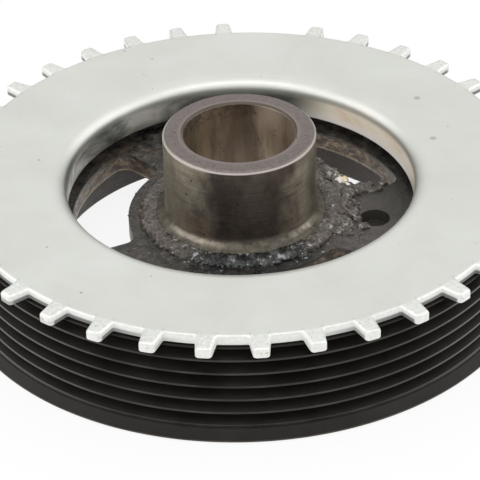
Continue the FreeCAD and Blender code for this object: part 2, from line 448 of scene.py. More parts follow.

# %% [markdown]
# ## The collar
# The collar's wall was drawn down in the press, which leaves upright streaks and a greyer
# tone, with a dark line where the bend ends; that line and much of the streaks' light and
# dark are painted reflections. Painted shade darkens the wall's foot and far side and reaches
# up into the bend. On the right it has some yellow passivation, painted near-white as lit,
# with a painted highlight along its lower edge.

# %% Zinc on the collar, and the whole finish
def collar_tone(tree, mm, place, base):
    """Colour with the collar's drawing marks, painted reflections and painted shadow on it, and
    the mask of the lit passivated side.
    """
    x, y, z, radius, _ = place
    # The streaks are partly drawing marks and partly painted reflections.
    drawn_streaks_and_reflections = noise(tree, mm, 0.11, 6, 0.62, squash=(0.55, 0.55, 1.5), lump=1.0)
    tone = ramp(tree, drawn_streaks_and_reflections, (0.34, (0.90, 0.88, 0.82)), (0.43, (0.62, 0.61, 0.56)),
                (0.54, (0.30, 0.31, 0.29)), (0.66, (0.13, 0.13, 0.12)))
    # Painted shade: darker at the wall's foot by the web, and on the far wall, which faces the
    # dark web.
    foot = step_up(tree, z, collar_end, collar_end + 3.0, 0.6, 0.0)
    far_wall_shade = times(tree, between(tree, x, -16, 22, 8), step_up(tree, y, 10, 20, 0, 0.82))
    tone = mixed(tree, calc(tree, "MAXIMUM", foot, far_wall_shade), tone, (0.10, 0.105, 0.095))
    # The wall's dark tone reaches up into the bend, as painted shade that dims the bend's
    # highlight.
    wall = times(tree, step_down(tree, z, wheel_top - bend_r - 0.2, wheel_top - bend_r * 0.35),
                 step_down(tree, radius, collar_r + 1.0, collar_r + 1.8))
    base = mixed(tree, wall, base, tone)
    # Yellow passivation on the right, painted near-white cream as if lit, with a painted
    # highlight low on the wall.
    yellow_lit_side = times(tree, wall, step_up(tree, x, 12, 26))
    lit_cream = ramp(tree, drawn_streaks_and_reflections, (0.38, (0.88, 0.72, 0.55)), (0.5, (0.97, 0.86, 0.70)),
                 (0.62, (1.0, 0.93, 0.76)))
    painted_light = step_down(tree, z, collar_end + 0.6, collar_end + 3.0)
    lit_cream = mixed(tree, painted_light, lit_cream, (1.0, 0.93, 0.88))
    base = mixed(tree, times(tree, yellow_lit_side, 0.95), base, lit_cream)
    # Painted reflection: a dark line low on the bend.
    line = times(tree, between(tree, z, wheel_top - 3.4, wheel_top - 2.2, 0.5),
                 step_down(tree, radius, collar_r + 1.6, collar_r + 2.2))
    return mixed(tree, times(tree, line, 0.6), base, (0.22, 0.235, 0.22)), yellow_lit_side


def plated_steel():
    material, tree, shader, mm = new_finish("plated_steel")
    place = place_parts(tree, mm)
    grain = noise(tree, mm, 2.6, 4, 0.65)
    base, cut = rim_tone(tree, mm, place, sheet_tone(tree, mm, grain))
    base, yellow_lit_side = collar_tone(tree, mm, place, base)
    metal = minus(tree, 0.7, times(tree, plus(tree, yellow_lit_side, cut), 0.6))
    finish(tree, shader, base, ramp(tree, grain, (0.3, 0.36), (0.75, 0.46)), metal=metal)
    bumped(tree, shader, grain, 0.12, 0.04)
    return told(material)


zinc = plated_steel()

# %% [markdown]
# ## The toothed wheel's cells
# The wheel is stamped: 36 places round it, one left without a tooth, so the sensor knows
# where the crankshaft stands. The press rounds the upper edge, which is called die roll. So
# one place is drawn as rows of points up the edge, each with its height and how far it is
# drawn in. There is one cell with a tooth and one without.

# %% Cells of the toothed wheel
PLACES, MISSING, FIRST_DEG = 36, 17, 2.78
TIP_HALF, ROOT_HALF, TIP_ROUND, ROOT_ROUND = 1.75, 2.355, 0.9, 0.45
STEP = 2 * math.pi / PLACES
ROLL = [(wheel_low, 0.15), (wheel_low + 0.15, 0.0), (wheel_top - 0.80, 0.0),
        (wheel_top - 0.52, 0.07), (wheel_top - 0.29, 0.21), (wheel_top - 0.10, 0.43),
        (wheel_top, 0.76), (wheel_top, 1.05)]


def tooth_cell(inset):
    """Outline over one place: plain arc, flank, rounded tip, flank, arc. -Y is outwards."""
    half_tip, half_root = TIP_HALF - inset, ROOT_HALF - inset
    low, high = root_r - inset, tip_r - inset
    side = math.asin(half_root / low)
    arc = [(low * math.sin(a), low * math.cos(a))
           for a in (-STEP / 2 + (STEP / 2 - side) * k / 7 for k in range(8))]
    round_tip, round_root = max(TIP_ROUND - inset, 0.15), ROOT_ROUND + inset * 0.5
    corners = [(*arc[-2], 0), (*arc[-1], round_root), (-half_tip, high, round_tip),
               (half_tip, high, round_tip), (-arc[-1][0], arc[-1][1], round_root),
               (-arc[-2][0], arc[-2][1], 0)]
    middle = [tuple(p) for p in eased(corners, 4, closed=False)]
    return [(a, -b) for a, b in arc[:-2] + middle + [(-x, y) for x, y in arc[:-2][::-1]]]


def plain_cell(inset):
    """Outline over the place without a tooth: only the arc of the roots."""
    angles = [-STEP / 2 + STEP * k / 16 for k in range(17)]
    return [((root_r - inset) * math.sin(a), (inset - root_r) * math.cos(a)) for a in angles]


def cell_wall(rows):
    """Strip of faces through rows of points."""
    count = len(rows[0])
    faces = [(k * count + i, k * count + i + 1, (k + 1) * count + i + 1, (k + 1) * count + i)
             for k in range(len(rows) - 1) for i in range(count - 1)]
    return pattern([point for row in rows for point in row], [], faces)


print("cells of %d and %d points, %d rows" % (len(tooth_cell(0)), len(plain_cell(0)), len(ROLL)))

# %% [markdown]
# ## The toothed wheel
# Its outline follows a rule, so Geometry Nodes make it. The wall with a tooth is turned to
# every place but one, the plain wall to the last, and they are merged into one edge. The
# lowest and the highest row go round in the same way, and Fill Curve closes the sheet between
# each and the hole's circle. The collar, bent down at the hole, is turned on the lathe and
# merged on at the seam.

# %% Toothed wheel nodes
def toothed_wheel():
    seam_r = collar_r + bend_r + 0.3
    walls = [cell_wall([[(x, y, z) for x, y in cell(inset)] for z, inset in ROLL])
             for cell in (tooth_cell, plain_cell)]
    rims = [[outline([(x, y, z) for x, y in cell(inset)], closed=False)
             for cell in (tooth_cell, plain_cell)] for z, inset in (ROLL[0], ROLL[-1])]
    collar = outline([(r, 0, z) for r, z in eased([
        (seam_r, wheel_top, 0), (collar_r, wheel_top, bend_r), (collar_r, collar_end, 0.4),
        (collar_r + wheel_t, collar_end, 0.4), (collar_r + wheel_t, wheel_low, bend_r - wheel_t),
        (seam_r, wheel_low, 0)], 6, closed=False)[::-1]], closed=False)
    sizes = {"Places": PLACES, "Missing place": MISSING, "First tooth angle": FIRST_DEG,
             "Seam radius": seam_r, "Turns": 360}
    tree, size = sized_tree("toothed_wheel", sizes)
    index = put(tree, "GeometryNodeInputIndex").outputs[0]
    degrees = plus(tree, times(tree, index, calc(tree, "DIVIDE", 360.0, size["Places"])),
                   size["First tooth angle"])
    turn = put(tree, "ShaderNodeCombineXYZ", {2: calc(tree, "RADIANS", degrees)}).outputs[0]
    is_gap = put(tree, "FunctionNodeCompare", {2: index, 3: size["Missing place"]},
                 data_type="INT", operation="EQUAL").outputs[0]
    is_tooth = put(tree, "FunctionNodeBooleanMath", {0: is_gap}, operation="NOT").outputs[0]
    spots = put(tree, "GeometryNodePoints", {"Count": size["Places"]}).outputs[0]
    hole = put(tree, "GeometryNodeCurvePrimitiveCircle",
               {"Resolution": size["Turns"], "Radius": size["Seam radius"]}).outputs[0]

    def all_round(cells):
        """The cell with a tooth at every place but one, the plain cell at the last."""
        turned_cells = [put(tree, "GeometryNodeInstanceOnPoints", {
            "Points": spots, "Selection": pick, "Instance": drawn(tree, cell),
            "Rotation": turn}).outputs[0] for pick, cell in zip((is_tooth, is_gap), cells)]
        rim = joined(tree, *turned_cells)
        return merged(tree, put(tree, "GeometryNodeRealizeInstances", {0: rim}).outputs[0])

    caps = []
    for cells, (z, _) in zip(rims, (ROLL[0], ROLL[-1])):
        rim = put(tree, "GeometryNodeMeshToCurve", {0: all_round(cells)}).outputs[0]
        level = put(tree, "GeometryNodeTransform", {0: hole, "Translation": (0, 0, z)}).outputs[0]
        sheet = put(tree, "GeometryNodeFillCurve", {0: joined(tree, rim, level)},
                    mode="TRIANGLES")
        caps.append(put(tree, "GeometryNodeSetPosition", {
            0: sheet.outputs[0], "Offset": (0, 0, z)}).outputs[0])
    under = put(tree, "GeometryNodeFlipFaces", {0: caps[0]}).outputs[0]
    bend = lathe(tree, drawn(tree, collar), size["Turns"])
    close_tree(tree, merged(tree, joined(tree, all_round(walls), under, caps[1], bend)), zinc)
    wheel = grown("wheel_stamping", tree, sizes, 25.0)
    for thing in (*walls, *rims[0], *rims[1], collar):
        bpy.data.objects.remove(thing)
    return wheel


wheel = toothed_wheel()
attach(wheel, "root")
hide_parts("toothed_wheel")

# %% [markdown]
# ## Black paint on the belt ring
# The ring is turned iron under thin black paint. It is dark but not dull. The belt has worn
# the rib crests, so each shows a thin lighter line, and a painted highlight makes the lines
# strongest at the sides. The lip is a little brown, and its lower hem is a lighter brown.

# %% Black painted iron
def black_iron():
    material, tree, shader, mm = new_finish("black_iron")
    x, _, z, radius, _ = place_parts(tree, mm)
    patches = noise(tree, mm, 0.10, 4, 0.6)
    base = ramp(tree, patches, (0.3, (0.0095, 0.0075, 0.006)), (0.75, (0.022, 0.019, 0.016)))
    rubbed_and_lit = noise(tree, mm, 0.09, 3, 0.6)
    crest = ramp(tree, rubbed_and_lit, (0.35, (0.018, 0.017, 0.015)), (0.65, (0.055, 0.052, 0.046)))
    # Painted highlight: the crest lines are lighter towards both sides.
    painted_side_highlight = step_up(tree, calc(tree, "ABSOLUTE", x), 25.0, 60.0)
    crest = mixed(tree, times(tree, painted_side_highlight, 0.65), crest, (0.20, 0.19, 0.172))
    at_crest = times(tree, between(tree, radius, crest_r - 0.1, crest_r + 0.25, 0.05),
                     step_up(tree, z, 1.0, 2.0))
    base = mixed(tree, at_crest, base, crest)
    lip = times(tree, step_up(tree, radius, crest_r + 0.4, crest_r + 1.2),
                ramp(tree, noise(tree, mm, 0.22, 4, 0.65), (0.40, 0.3), (0.62, 0.9)))
    base = mixed(tree, lip, base, (0.011, 0.009, 0.007))
    hem = times(tree, step_up(tree, radius, crest_r + 0.8, crest_r + 1.4),
                step_up(tree, z, 0.4, 1.1, 0.8, 0.0))
    base = mixed(tree, hem, base, ramp(tree, patches, (0.35, (0.05, 0.042, 0.034)),
                                       (0.65, (0.13, 0.105, 0.080))))
    rings = noise(tree, mm, 1.1, 4, 0.6, squash=(0.10, 0.10, 3.0))
    finish(tree, shader, base, ramp(tree, rings, (0.3, 0.36), (0.75, 0.5)), gloss=0.2)
    bumped(tree, shader, rings, 0.15, 0.03)
    return told(material)


paint = black_iron()

# %% [markdown]
# ## The belt ring
# A ribbed belt runs in six grooves at the usual 3.56 mm pitch. The grooves repeat, so one
# groove is drawn, set out along a line at that pitch, and joined to the rest of the outline:
# rear corner, bore, front face and the lip. Then the whole line goes round the axis.

# %% Belt ring nodes
CREST_LAND, CREST_BEVEL, FLANK_DEG = 0.3, 0.15, 20


def groove():
    """Outline of one groove about its middle, from its engine side down, and one crest."""
    top_half = (rib_pitch - CREST_LAND) / 2.0
    bevel_half = top_half - CREST_BEVEL
    flank_depth = groove_depth - CREST_BEVEL
    bottom_half = bevel_half - flank_depth * math.tan(math.radians(FLANK_DEG))
    upper = [(crest_r, top_half, 0), (crest_r - CREST_BEVEL, bevel_half, 0.1),
             (crest_r - groove_depth, bottom_half, 0.25)]
    corners = upper + [(r, -z, ease) for r, z, ease in upper[::-1]]
    corners.append((crest_r, top_half - rib_pitch, 0))
    return [(r, 0, z) for r, z in eased(corners, 3, closed=False)]


def belt_ring():
    last = ring_rear - rib_pitch * rib_grooves - CREST_BEVEL
    shoulder_r = crest_r + 0.6
    rest = [(crest_r, last, 0), (shoulder_r, last, 0.1), (shoulder_r, last - 0.25, 0.1),
            (lip_r, 1.1, 0.3), (lip_r, 0, 0.8), (ring_bore_r, 0, 0.5),
            (ring_bore_r, ring_rear, 0.5), (crest_r - 0.5, ring_rear, 0.1),
            (crest_r, ring_rear - CREST_BEVEL, 0)]
    one = outline(groove(), closed=False)
    body = outline([(r, 0, z) for r, z in eased(rest, 4, closed=False)], closed=False)
    sizes = {"Grooves": rib_grooves, "Rib pitch": rib_pitch, "Turns": 400}
    tree, size = sized_tree("belt_ring", sizes)
    start = put(tree, "ShaderNodeCombineXYZ", {
        2: minus(tree, ring_rear, times(tree, size["Rib pitch"], 0.5))})
    stride = put(tree, "ShaderNodeCombineXYZ", {2: times(tree, size["Rib pitch"], -1.0)})
    row = put(tree, "GeometryNodeMeshLine", {
        "Count": size["Grooves"], "Start Location": start.outputs[0],
        "Offset": stride.outputs[0]}, mode="OFFSET")
    grooves = put(tree, "GeometryNodeInstanceOnPoints", {
        "Points": row.outputs[0], "Instance": drawn(tree, one)})
    grooves = put(tree, "GeometryNodeRealizeInstances", {0: grooves.outputs[0]})
    line = merged(tree, joined(tree, grooves.outputs[0], drawn(tree, body)))
    close_tree(tree, lathe(tree, line, size["Turns"]), paint)
    ring = grown("ribbed_ring", tree, sizes, 25.0)
    for thing in (one, body):
        bpy.data.objects.remove(thing)
    return ring


ring = belt_ring()
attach(ring, "root")
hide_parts("belt_ring")

# %% [markdown]
# ## Rubber
# The elastomer sits between the hub's rim and the belt ring. It is matt black with a faint
# bloom, and its CAD solid already has the right shape, so the solid itself gets the finish.

# %% Elastomer
def elastomer():
    material, tree, shader, mm = new_finish("elastomer")
    bloom = noise(tree, mm, 0.5, 4, 0.6)
    base = ramp(tree, bloom, (0.3, (0.012, 0.012, 0.012)), (0.8, (0.03, 0.03, 0.029)))
    finish(tree, shader, base, 0.75)
    bumped(tree, shader, noise(tree, mm, 4, 3, 0.6), 0.3, 0.05)
    return told(material)


def wear(material, thing):
    """Give a CAD node its finish."""
    thing.data.materials.clear()
    thing.data.materials.append(material)


wear(elastomer(), nodes["elastomer_ring"])

# %% [markdown]
# ## The hub disc's rough black paint
# The disc is thick sheet under black paint that has gone grey on top. Large blotches carry
# the rust, small ones the grime, and a fine bump the weld dust that was painted over. The
# web is worn beside the weld at the right, has painted shade on the right near the collar,
# and is darker in front.

# %% Painted upper face
def web_tone(tree, mm, place, grime):
    _, _, _, radius, angle = place
    tone = ramp(tree, grime, (0.34, (0.010, 0.010, 0.009)), (0.5, (0.036, 0.035, 0.031)),
                (0.66, (0.115, 0.105, 0.092)))
    blotch = ramp(tree, noise(tree, mm, 0.13, 5, 0.65), (0.45, 0), (0.62, 1))
    rust = ramp(tree, noise(tree, mm, 1.3, 4, 0.7), (0.38, (0.022, 0.016, 0.013)),
                (0.62, (0.19, 0.125, 0.085)))
    tone = mixed(tree, times(tree, blotch, 0.3), tone, rust)
    worn = times(tree, between(tree, angle, 48, 100, 8), step_up(tree, radius, 24, 27))
    tone = mixed(tree, times(tree, worn, 0.6), tone, ramp(
        tree, grime, (0.34, (0.045, 0.038, 0.036)), (0.66, (0.16, 0.135, 0.128))))
    # Painted shade on the right near the collar.
    collar_shade = times(tree, between(tree, angle, 76, 125, 10),
                  step_up(tree, radius, 28, 36, 0.25, 0.6))
    tone = mixed(tree, collar_shade, tone, (0.026, 0.028, 0.023))
    front = times(tree, between(tree, angle, -28, 42, 12),
                  step_up(tree, radius, 27, 33, 0.85, 0.0))
    return mixed(tree, front, tone, ramp(tree, grime, (0.4, (0.006, 0.006, 0.006)),
                                         (0.62, (0.035, 0.032, 0.028))))

# %% [markdown]
# ## Cut edges and the hole
# The press cut the windows before the paint went on, and it holds badly on their rough walls:
# they are brown, with a painted highlight along the lower edge. The web's other face and the
# inside of the rim are a darker brown, and the small locating hole is full of old dirt, its
# walls painted darker than its floor as shade.

# %% Black painted steel with light rust
def cut_tone(tree, mm, z, grime):
    burr = noise(tree, mm, 0.6, 6, 0.75, squash=(0.6, 0.6, 1.4), lump=0.6)
    tone = ramp(tree, burr, (0.38, (0.040, 0.029, 0.020)), (0.5, (0.115, 0.085, 0.058)),
                (0.60, (0.34, 0.26, 0.18)))
    # Painted highlight along the lower edge of the window walls.
    painted_edge_highlight = times(tree, between(tree, z, web_low, web_low + 0.55, 0.25),
                 ramp(tree, burr, (0.35, 0.15), (0.55, 0.75)))
    tone = mixed(tree, painted_edge_highlight, tone, (0.50, 0.41, 0.31))
    inside = step_down(tree, z, web_low + 0.02, web_low + 0.08)
    return mixed(tree, inside, tone, ramp(tree, grime, (0.3, (0.024, 0.018, 0.014)),
                                          (0.7, (0.075, 0.052, 0.036))))


def black_steel():
    material, tree, shader, mm = new_finish("black_steel")
    place = place_parts(tree, mm)
    z = place[2]
    grime = noise(tree, mm, 0.4, 6, 0.72)
    below = step_down(tree, z, web_top - 0.9, web_top - 0.3)
    base = mixed(tree, below, web_tone(tree, mm, place, grime), cut_tone(tree, mm, z, grime))
    # The locating hole: dirt, with its walls painted darker than its floor as shade.
    pit = times(tree, step_down(tree, nearest(tree, mm, [hole_at], web_top - 1.5), 3.9, 4.1),
                step_down(tree, z, web_top - 0.4, web_top - 0.1))
    dirt_and_wall_shade = mixed(tree, step_down(tree, z, hole_floor + 0.05, hole_floor + 0.3),
                 (0.060, 0.056, 0.046), (0.038, 0.036, 0.029))
    base = mixed(tree, pit, base, dirt_and_wall_shade)
    finish(tree, shader, base, ramp(tree, grime, (0.34, 0.20), (0.66, 0.55)), gloss=0.4)
    bumped(tree, shader, noise(tree, mm, 1.4, 5, 0.7, lump=0.5), 0.8, 0.25, edge_mm=0.3)
    return told(material)


wear(black_steel(), nodes["hub_disc"])

# %% [markdown]
# ## Turned steel on the sleeve's wall
# The sleeve was turned on a lathe and left bare, then went brown-grey under old oil, and it is
# rusty low on the left. Its light and shade are painted: paler at both sides as painted light,
# dark in front, at the right and near the top on the right as painted shade. Turning leaves
# fine rings round the axis, so the grain is stretched round and tight along Z.

# %% Turned wall
def turned_tone(tree, mm, place, scratches):
    x, _, z, _, angle = place
    stain = noise(tree, mm, 0.16, 5, 0.65, squash=(1, 1, 0.6))
    # Painted shade and light: a dark tone for the front and a pale lit tone for the sides.
    painted_shade_tone = ramp(tree, stain, (0.32, (0.064, 0.050, 0.042)), (0.52, (0.116, 0.094, 0.078)),
                (0.72, (0.16, 0.138, 0.115)))
    painted_light = ramp(tree, stain, (0.32, (0.27, 0.233, 0.178)), (0.52, (0.42, 0.37, 0.29)),
                (0.72, (0.55, 0.495, 0.40)))
    wander = times(tree, minus(tree, stain, 0.5), 30.0)
    off_front = plus(tree, calc(tree, "ABSOLUTE", minus(tree, angle, 2.5)), wander)
    # The pale sides are painted light; at the right and near its top, painted shade takes it
    # back.
    side_light_from = plus(tree, 44.0, step_up(tree, x, 0, 5, 0, 10))
    painted_side_light = step_up(tree, off_front, 19, side_light_from)
    painted_right_shade = times(tree, between(tree, angle, 62, 130, 8), 0.65)
    painted_top_shade = times(tree, between(tree, angle, 26, 75, 6),
                    step_up(tree, z, sleeve_top - 6, sleeve_top - 2, 0, 0.5))
    painted_side_light = minus(tree, painted_side_light, calc(tree, "MAXIMUM", painted_right_shade, painted_top_shade))
    base = mixed(tree, painted_side_light, painted_shade_tone, painted_light)
    rusty = times(tree, between(tree, angle, -50, -24, 8),
                  step_up(tree, z, sleeve_top - 17, sleeve_top - 12, 0.45, 0.0))
    base = mixed(tree, rusty, base, (0.19, 0.105, 0.066))
    scored = ramp(tree, scratches, (0.36, 0.6), (0.5, 0.0))
    return mixed(tree, scored, base, (0.045, 0.036, 0.030))

# %% [markdown]
# ## The sleeve's end and foot
# The end face is a cool grey with a paler band round the bore. A highlight is painted on
# its outer chamfer, and painted shade darkens the inner one at the back. The flared foot is
# an olive grey, with a painted highlight on its upper ridge in two places.

# %% End face, chamfers and foot
def end_tone(tree, mm, place, base):
    """Colour with the end face and both chamfers on it, with painted highlight and painted
    shadow, and the mask of the outer chamfer's highlight.
    """
    _, y, z, radius, _ = place
    tone = ramp(tree, noise(tree, mm, 0.9, 4, 0.6), (0.3, (0.140, 0.116, 0.107)),
                (0.7, (0.20, 0.168, 0.157)))
    inner = between(tree, radius, bore_r + 0.3, bore_r + 1.3, 0.12)
    tone = mixed(tree, times(tree, inner, 0.6), tone, (0.24, 0.20, 0.188))
    base = mixed(tree, step_up(tree, z, sleeve_top - 0.30, sleeve_top - 0.20), base, tone)
    # Painted highlight on the outer chamfer.
    chamfer_highlight = times(tree, between(tree, z, sleeve_top - 0.75, sleeve_top - 0.35, 0.06),
                   step_up(tree, radius, sleeve_r - 0.75, sleeve_r - 0.45))
    base = mixed(tree, chamfer_highlight, base, (0.42, 0.385, 0.36))
    # Painted shade on the inner chamfer at the back.
    far_chamfer_shade = times(tree, step_up(tree, z, sleeve_top - 0.55, sleeve_top - 0.45),
                  step_down(tree, radius, bore_r + 0.45, bore_r + 0.6),
                  step_up(tree, y, -4, 4))
    return mixed(tree, far_chamfer_shade, base, (0.08, 0.065, 0.052)), chamfer_highlight


def foot_tone(tree, mm, place, base):
    """Colour with the foot and its painted highlight on it, and the foot's mask."""
    _, _, z, radius, angle = place
    foot = times(tree, step_down(tree, z, foot_top + 1.5, foot_top + 2.8),
                 step_up(tree, radius, sleeve_r - 0.2, sleeve_r + 0.1))
    patchy = noise(tree, mm, 0.5, 5, 0.7)
    tone = ramp(tree, patchy, (0.36, (0.052, 0.044, 0.034)), (0.6, (0.14, 0.127, 0.098)))
    # Painted highlight: the ridge is lighter in two places, where the side lamps would catch it.
    highlight_places = calc(tree, "MAXIMUM", between(tree, angle, -58, -18, 14),
                 between(tree, angle, 42, 62, 10))
    highlight_places = times(tree, highlight_places, ramp(tree, patchy, (0.35, 0.3), (0.55, 0.9)))
    painted_ridge_highlight = times(tree, between(tree, z, foot_top + 0.9, foot_top + 1.9, 0.35), highlight_places)
    return mixed(tree, foot, base, mixed(tree, painted_ridge_highlight, tone, (0.44, 0.39, 0.32))), foot

# %% [markdown]
# ## The bore
# Oil dried to a brown film in the bore. Painted light makes it paler at both sides, with a
# painted highlight at the right, and painted shade darkens the middle; it is also darker at
# the far left. Under the rim it is darker, partly crud and partly painted shade.

# %% Bore, and the whole finish
def bore_tone(tree, mm, x, z):
    film = noise(tree, mm, 0.25, 5, 0.65, squash=(1, 1, 0.25))
    off_middle = plus(tree, calc(tree, "ABSOLUTE", x), times(tree, minus(tree, film, 0.5), 12.0))
    # Painted light: paler towards both sides of the bore.
    tone = mixed(tree, step_up(tree, off_middle, 2.0, 8.0),
                 ramp(tree, film, (0.35, (0.13, 0.095, 0.068)), (0.65, (0.24, 0.185, 0.135))),
                 ramp(tree, film, (0.35, (0.26, 0.195, 0.135)), (0.65, (0.50, 0.41, 0.31))))
    # Darker under the rim: partly crud, partly painted shade.
    crud_and_rim_shade = times(tree, step_up(tree, z, sleeve_top - 5.5, sleeve_top - 2.0),
                 ramp(tree, noise(tree, mm, 0.55, 4, 0.7), (0.38, 0.9), (0.60, 0.0)),
                 step_up(tree, x, 3, 8, 1.0, 0.2))
    tone = mixed(tree, crud_and_rim_shade, tone, (0.060, 0.043, 0.033))
    # Painted highlight on the right.
    rubbed_and_lit = times(tree, step_up(tree, z, sleeve_top - 9, sleeve_top - 3),
                   between(tree, x, 5, 10, 2.5), 0.75)
    tone = mixed(tree, rubbed_and_lit, tone, (0.72, 0.60, 0.48))
    # Painted shade in the middle; below it, darker at the far left.
    tone = mixed(tree, times(tree, between(tree, x, -9, 3, 2.0), 0.4), tone, (0.14, 0.10, 0.07))
    return mixed(tree, step_up(tree, x, -12.5, -8, 0.6, 0.0), tone, (0.13, 0.10, 0.07))


def machined_steel():
    material, tree, shader, mm = new_finish("machined_steel")
    place = place_parts(tree, mm)
    x, _, z, radius, _ = place
    scratches = noise(tree, mm, 1.2, 4, 0.65, squash=(0.10, 0.10, 5.0))
    base, chamfer_highlight = end_tone(tree, mm, place, turned_tone(tree, mm, place, scratches))
    base, foot = foot_tone(tree, mm, place, base)
    in_bore = times(tree, step_down(tree, radius, bore_r + 0.05, bore_r + 0.2),
                    step_down(tree, z, sleeve_top - 0.55, sleeve_top - 0.40))
    base = mixed(tree, in_bore, base, bore_tone(tree, mm, x, z))
    dots = ramp(tree, noise(tree, mm, 0.75, 2, 0.5), (0.70, 0), (0.73, 0.7))
    base = mixed(tree, dots, base, (0.030, 0.024, 0.020))
    flecks = ramp(tree, noise(tree, mm, 0.5, 1, 0.4), (0.775, 0), (0.80, 0.7))
    low = step_down(tree, z, sleeve_top - 10, sleeve_top - 6)
    base = mixed(tree, times(tree, flecks, low), base, (0.40, 0.39, 0.36))
    rings = noise(tree, mm, 1.0, 4, 0.6, squash=(0.12, 0.12, 6.0))
    rough = plus(tree, ramp(tree, rings, (0.3, 0.30), (0.75, 0.46)),
                 times(tree, calc(tree, "MAXIMUM", foot, chamfer_highlight), 0.2))
    finish(tree, shader, base, rough, metal=0.65)
    bumped(tree, shader, scratches, 0.3, 0.06)
    return told(material)


bare_steel = machined_steel()

# %% [markdown]
# ## The sleeve
# The sleeve slides over the crankshaft's nose, and a seal runs on its outside. It is turned
# from one outline: bore, chamfered ends, plain wall, flared foot, and a spigot through the web.

# %% Turn the sleeve
def turned(name, corners, material, turns, sharp_deg):
    """Closed turned piece from corners (radius, height, rounding)."""
    line = outline([(r, 0, z) for r, z in eased(corners)])
    tree, size = sized_tree(name, {"Turns": turns})
    close_tree(tree, lathe(tree, drawn(tree, line), size["Turns"]), material)
    thing = grown(name, tree, {"Turns": turns}, sharp_deg)
    bpy.data.objects.remove(line)
    return thing


sleeve = turned("turned_sleeve", [
    (bore_r, sleeve_front + 0.5, 0.15), (bore_r, sleeve_top - 0.5, 0.15),
    (bore_r + 0.5, sleeve_top, 0.15), (sleeve_r - 0.7, sleeve_top, 0.15),
    (sleeve_r, sleeve_top - 0.7, 0.15), (sleeve_r, foot_top + 1.9, 2.2),
    (foot_r, foot_top, 0.4), (foot_r, web_top, 0), (spigot_r, web_top, 0),
    (spigot_r, sleeve_front + 0.7, 0.15), (spigot_r - 0.7, sleeve_front, 0.15),
    (bore_r + 0.5, sleeve_front, 0.15)], bare_steel, turns=288, sharp_deg=50.0)
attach(sleeve, "root")
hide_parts("hub_sleeve")

# %% [markdown]
# ## Weld metal
# The weld went on last and was sprayed with gloss black, so it is the shiniest part of the
# hub: black in front, dusty brown-grey elsewhere. Pale glints are painted on as highlights,
# and the crease at the sleeve's foot is painted black as shade. Pale specks on the spatter
# are partly bare metal and partly painted highlights, and two lumps at the right window's
# edge are bare steel and straw with a painted highlight.

# %% Weld metal under gloss black
BARE_LIT_AT = ((28.9, 13.4), (26.2, 12.6))


def weld_metal(name, bare_and_lit):
    """bare_and_lit makes the two lumps beside the right window steel-white and straw, partly
    uncoated metal and partly a painted highlight.
    """
    material, tree, shader, mm = new_finish(name)
    _, _, z, radius, angle = place_parts(tree, mm)
    soot = noise(tree, mm, 0.5, 5, 0.65)
    fine = noise(tree, mm, 1.3, 5, 0.7)
    base = ramp(tree, soot, (0.38, (0.004, 0.005, 0.005)), (0.5, (0.020, 0.022, 0.022)),
                (0.62, (0.10, 0.105, 0.10)))
    wander = times(tree, minus(tree, soot, 0.5), 60.0)
    off_front = calc(tree, "ABSOLUTE", plus(tree, minus(tree, angle, 5.0), wander))
    dusty = step_up(tree, off_front, 26.0, 46.0)
    dust = ramp(tree, mixed(tree, 0.4, fine, soot), (0.36, (0.018, 0.014, 0.013)),
                (0.48, (0.088, 0.073, 0.062)), (0.58, (0.19, 0.165, 0.145)),
                (0.68, (0.42, 0.39, 0.35)))
    base = mixed(tree, times(tree, dusty, 0.95), base, dust)
    # Painted highlights: pale glints, fewer at the left.
    painted_glint = times(tree, ramp(tree, noise(tree, mm, 0.8, 3, 0.55), (0.575, 0.0), (0.63, 0.85)),
                  ramp(tree, noise(tree, mm, 0.3, 2, 0.5), (0.44, 0.0), (0.54, 1.0)),
                  step_up(tree, angle, -70.0, -40.0, 0.1, 1.0))
    base = mixed(tree, painted_glint, base, (0.42, 0.43, 0.42))
    # Painted shade: the crease where the bead meets the sleeve's foot is darkened.
    painted_crease_shade = times(tree, between(tree, radius, foot_r - 0.9, foot_r - 0.1, 0.2),
                   step_up(tree, z, web_top + 0.3, web_top + 0.8), 0.85)
    base = mixed(tree, painted_crease_shade, base, (0.006, 0.006, 0.005))
    # Pale specks, partly bare metal and partly painted highlights.
    bare_and_sparkle = ramp(tree, noise(tree, mm, 1.25, 3, 0.6), (0.68, 0), (0.72, 1))
    if bare_and_lit:
        near = plus(tree, nearest(tree, mm, BARE_LIT_AT, web_top + 0.6), times(tree, wander, 0.2))
        bare_and_sparkle = calc(tree, "MAXIMUM", bare_and_sparkle, step_down(tree, near, 1.8, 3.2))
    base = mixed(tree, bare_and_sparkle, base, ramp(tree, soot, (0.42, (0.80, 0.79, 0.74)),
                                         (0.6, (0.85, 0.68, 0.36))))
    rough = plus(tree, ramp(tree, soot, (0.38, 0.10), (0.62, 0.30)), times(tree, dusty, 0.15))
    finish(tree, shader, base, rough, metal=times(tree, bare_and_sparkle, 0.5), gloss=0.35)
    bumped(tree, shader, soot, 0.9, 0.6)
    return told(material)


black_weld = weld_metal("weld_metal", False)
bare_spatter = weld_metal("weld_spatter", True)

# %% [markdown]
# ## The weld bead
# The bead runs once round the sleeve's foot. Each dip of the arc left a ripple, and the bead
# swells and sinks along its way. A tube is swept round the foot, half of it under the web's
# face, and its points are pushed out by a ripple that follows the angle and by noise. The
# ripples bend backwards at the bead's sides, as they do on a real weld.

